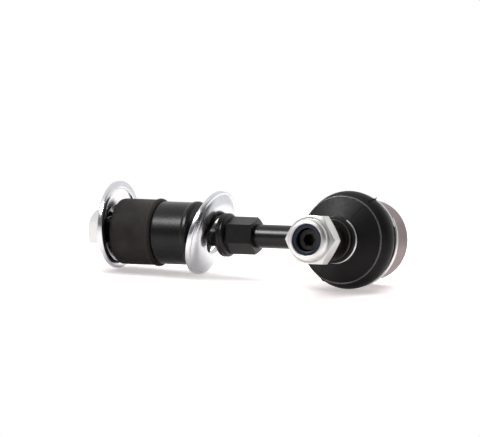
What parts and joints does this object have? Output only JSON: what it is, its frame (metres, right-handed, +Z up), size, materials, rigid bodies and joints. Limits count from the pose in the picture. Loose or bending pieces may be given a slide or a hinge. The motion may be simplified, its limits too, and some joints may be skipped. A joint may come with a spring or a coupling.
{
  "type": "stabilizer link",
  "caption": "Straight stabilizer link with a booted ball joint and lock nut at one end and clamped rubber bushes between cup washers at the other.",
  "frame": {"origin": "on the ball stud's axis, at the shoulder that a bracket seats against", "axes": "+X along the rod, from the bushes towards the ball joint; the stud points along -Y; +Z up as the link lies"},
  "size_m": [0.1366, 0.0668, 0.0393],
  "materials": {
    "black_steel": "black phosphate and paint, semi-gloss",
    "housing_steel": "phosphated steel, brownish grey, matt",
    "zinc": "bright zinc plate",
    "wire": "bright spring wire",
    "boot_rubber": "smooth black rubber",
    "outer_rubber": "matt brown-black rubber",
    "inner_rubber": "semi-gloss black rubber",
    "nylon": "dark blue nylon",
    "acetal": "natural acetal"
  },
  "bodies": {
    "link": {"link_rod": "black_steel", "joint_housing": "housing_steel", "end_cap": "housing_steel", "ball_seat": "acetal", "housing_clip": "wire", "inner_bush": "inner_rubber"},
    "boot": {"dust_boot": "boot_rubber"},
    "boot_neck": {"neck_clip": "wire"},
    "stud": {"ball_stud": "black_steel"},
    "nut_ring": {"nut_insert": "nylon"},
    "nut": {"stud_nut": "zinc"},
    "clamp": {"outer_bush": "outer_rubber"},
    "end_nut": {"rod_nut": "zinc", "outer_washer": "zinc"},
    "loose_washer": {"inner_washer": "zinc"}
  },
  "joints": [
    {"name": "stud_swing_lengthwise", "type": "hinge", "parent": "link", "child": "boot", "pos_m": [0, 0.0276, 0], "axis": [0, 0, 1], "range_deg": [-18, 18], "deforming": ["dust_boot"]},
    {"name": "stud_swing_upright", "type": "hinge", "parent": "boot", "child": "boot_neck", "pos_m": [0, 0.0276, 0], "axis": [1, 0, 0], "range_deg": [-18, 18], "deforming": ["dust_boot"]},
    {"name": "stud_spin", "type": "hinge", "parent": "boot_neck", "child": "stud", "pos_m": [0, 0.0276, 0], "axis": [0, -1, 0], "continuous": true},
    {"name": "stud_nut_travel", "type": "slide", "parent": "stud", "child": "nut_ring", "axis": [0, -1, 0], "range_m": [-0.01201, 0.01301], "deforming": ["nut_insert"]},
    {"name": "stud_nut_turn", "type": "hinge", "parent": "nut_ring", "child": "nut", "pos_m": [0, -0.0129, 0], "axis": [0, -1, 0], "range_deg": [-3456, 3744], "deforming": ["nut_insert"]},
    {"name": "clamp_travel", "type": "slide", "parent": "link", "child": "clamp", "axis": [-1, 0, 0], "range_m": [-0.00001, 0.00501]},
    {"name": "rod_nut_turn", "type": "hinge", "parent": "clamp", "child": "end_nut", "pos_m": [-0.1104, 0.0276, 0], "axis": [-1, 0, 0], "range_deg": [0, 1440]},
    {"name": "inner_washer_rock", "type": "hinge", "parent": "link", "child": "loose_washer", "pos_m": [-0.0642, 0.0276, 0], "axis": [0, 1, 0], "range_deg": [-17, 0]}
  ],
  "couplings": [
    {"joint": "stud_nut_travel", "follows": "stud_nut_turn", "m_per_rad": 0.00019894},
    {"joint": "clamp_travel", "follows": "rod_nut_turn", "m_per_rad": 0.00019894}
  ]
}
